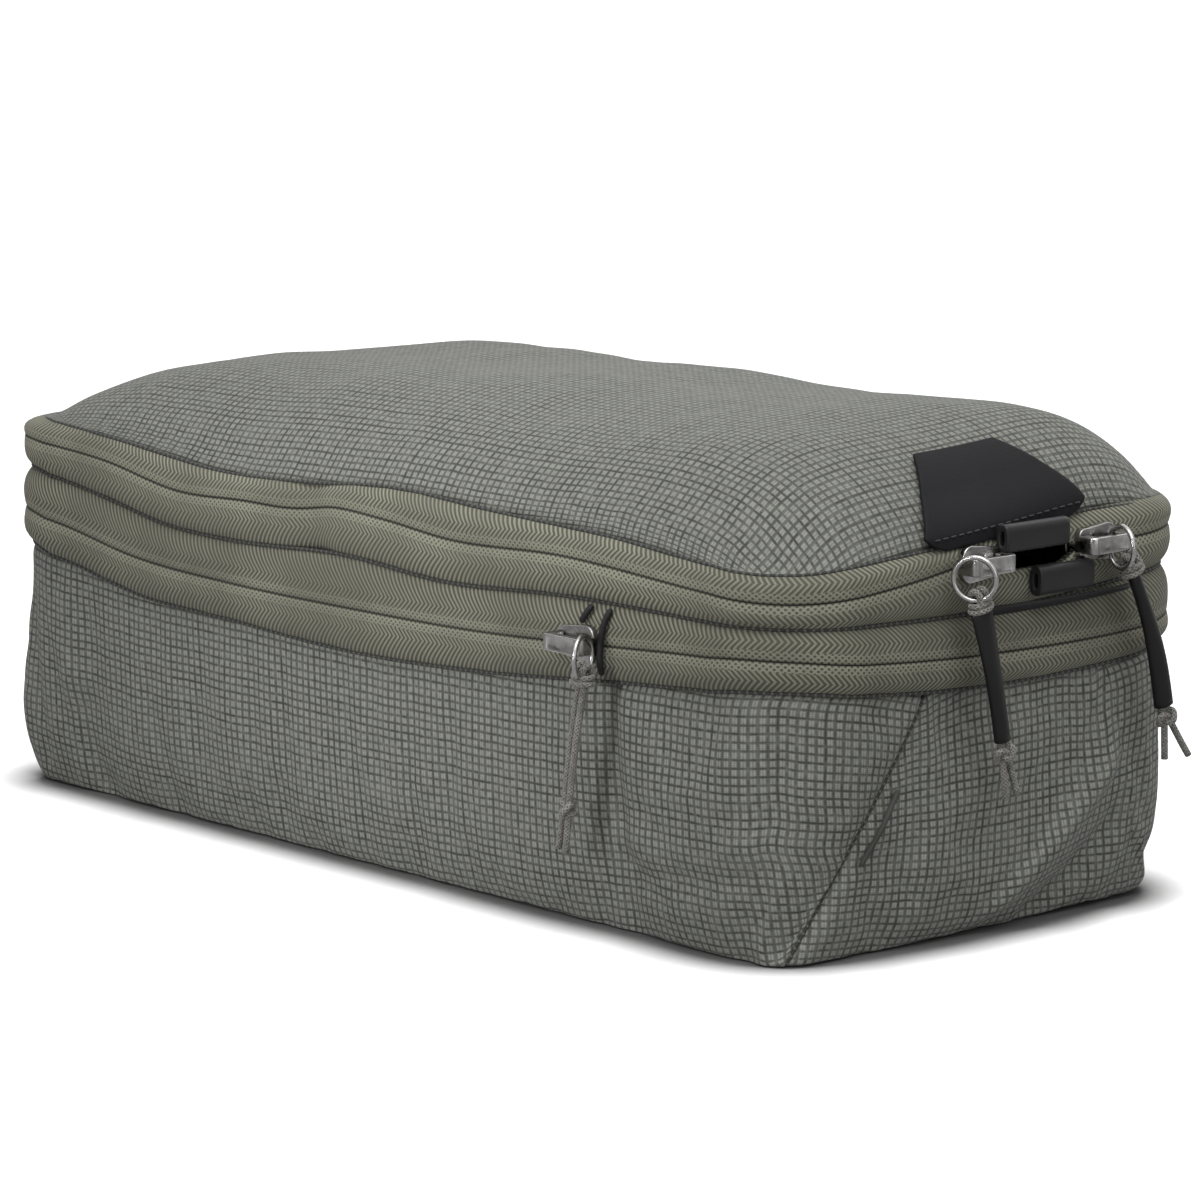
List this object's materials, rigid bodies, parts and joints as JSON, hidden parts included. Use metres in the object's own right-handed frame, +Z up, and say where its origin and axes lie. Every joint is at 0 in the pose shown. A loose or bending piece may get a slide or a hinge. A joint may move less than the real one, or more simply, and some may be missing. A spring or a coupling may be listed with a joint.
{
  "type": "packing cube",
  "caption": "Soft rectangular travel case with a zipped domed lid, an expansion zip round its middle, a grab strap and cord zip pulls.",
  "frame": {"origin": "middle of the base, on the surface that the case stands on", "axes": "+Z up, +X towards the short end with the zip pulls, -Y towards the long side with the expansion zip's pull"},
  "size_m": [0.3473, 0.1653, 0.129],
  "materials": {
    "ripstop_fabric": "grey-green ripstop weave, matt",
    "zip_tape": "olive herringbone tape, matt",
    "zip_coil": "woven nylon coil",
    "seam_binding": "thin dark binding tape",
    "black_leather": "fine grained, matt black",
    "black_webbing": "smooth coated black webbing",
    "metal": "worn antique nickel",
    "cord": "braided grey-green cord"
  },
  "bodies": {
    "lower_body": {"front_panel": "ripstop_fabric", "back_panel": "ripstop_fabric", "near_end_panel": "ripstop_fabric", "far_end_panel": "ripstop_fabric", "base_panel": "ripstop_fabric", "body_seam_binding": "seam_binding", "compression_tape_lower": "zip_tape", "compression_coil_lower": "zip_coil", "expansion_gusset": "ripstop_fabric"},
    "upper_frame": {"compression_tape_upper": "zip_tape", "compression_coil_upper": "zip_coil", "middle_seam_binding": "seam_binding", "main_tape_lower": "zip_tape", "main_coil_lower": "zip_coil", "hinge_panel_lower": "ripstop_fabric", "grab_tab_lower": "black_webbing", "end_handle": "black_webbing", "anchor_strand_long": "black_webbing", "anchor_strand_short": "black_webbing"},
    "lid": {"lid_panel": "ripstop_fabric", "main_tape_upper": "zip_tape", "main_coil_upper": "zip_coil", "hinge_panel_upper": "ripstop_fabric", "lid_seam_binding": "seam_binding", "grab_tab_upper": "black_webbing", "leather_patch": "black_leather"},
    "near_slider_body": {"near_slider": "metal", "near_bridge": "metal"},
    "near_ring_body": {"near_ring": "metal"},
    "near_cord_body": {"near_pull_hitch": "cord", "near_pull_cord_a": "cord", "near_pull_cord_b": "cord", "near_pull_knot": "cord", "near_pull_tail_a": "cord", "near_pull_tail_b": "cord", "near_pull_sleeve": "black_webbing"},
    "far_slider_body": {"far_slider": "metal", "far_bridge": "metal"},
    "far_ring_body": {"far_ring": "metal"},
    "far_cord_body": {"far_pull_hitch": "cord", "far_pull_cord_a": "cord", "far_pull_cord_b": "cord", "far_pull_knot": "cord", "far_pull_tail_a": "cord", "far_pull_tail_b": "cord", "far_pull_sleeve": "black_webbing"},
    "compression_slider_body": {"compression_slider": "metal", "compression_bridge": "metal"},
    "compression_ring_body": {"compression_ring": "metal"},
    "compression_cord_body": {"compression_pull_hitch": "cord", "compression_pull_cord_a": "cord", "compression_pull_cord_b": "cord", "compression_pull_knot": "cord", "compression_pull_tail_a": "cord", "compression_pull_tail_b": "cord"}
  },
  "joints": [
    {"name": "expansion_slide", "type": "slide", "parent": "lower_body", "child": "upper_frame", "axis": [0, 0, 1], "range_m": [0, 0.035], "deforming": ["expansion_gusset"]},
    {"name": "lid_hinge", "type": "hinge", "parent": "upper_frame", "child": "lid", "pos_m": [-0.167, 0, 0.097], "axis": [0, -1, 0], "range_deg": [0, 170]},
    {"name": "near_slider_slide", "type": "slide", "parent": "upper_frame", "child": "near_slider_body", "axis": [0, -1, 0], "range_m": [0, 0.024]},
    {"name": "far_slider_slide", "type": "slide", "parent": "upper_frame", "child": "far_slider_body", "axis": [0, 1, 0], "range_m": [0, 0.01]},
    {"name": "compression_slider_slide", "type": "slide", "parent": "lower_body", "child": "compression_slider_body", "axis": [-1, 0, 0], "range_m": [0, 0.22]},
    {"name": "near_ring_swing", "type": "hinge", "parent": "near_slider_body", "child": "near_ring_body", "pos_m": [0.1734, -0.0165, 0.097], "axis": [0, -1, 0], "range_deg": [0, 80]},
    {"name": "far_ring_swing", "type": "hinge", "parent": "far_slider_body", "child": "far_ring_body", "pos_m": [0.1734, 0.03, 0.097], "axis": [0, -1, 0], "range_deg": [0, 80]},
    {"name": "compression_ring_swing", "type": "hinge", "parent": "compression_slider_body", "child": "compression_ring_body", "pos_m": [0.0945, -0.0824, 0.0745], "axis": [-1, 0, 0], "range_deg": [0, 80]},
    {"name": "near_cord_swing", "type": "hinge", "parent": "near_ring_body", "child": "near_cord_body", "pos_m": [0.175, -0.0185, 0.0891], "axis": [1, 0, 0], "range_deg": [-35, 18]},
    {"name": "far_cord_swing", "type": "hinge", "parent": "far_ring_body", "child": "far_cord_body", "pos_m": [0.175, 0.032, 0.0891], "axis": [1, 0, 0], "range_deg": [-40, 12]},
    {"name": "compression_cord_swing", "type": "hinge", "parent": "compression_ring_body", "child": "compression_cord_body", "pos_m": [0.0965, -0.084, 0.0666], "axis": [0, 1, 0], "range_deg": [-35, 18]}
  ]
}
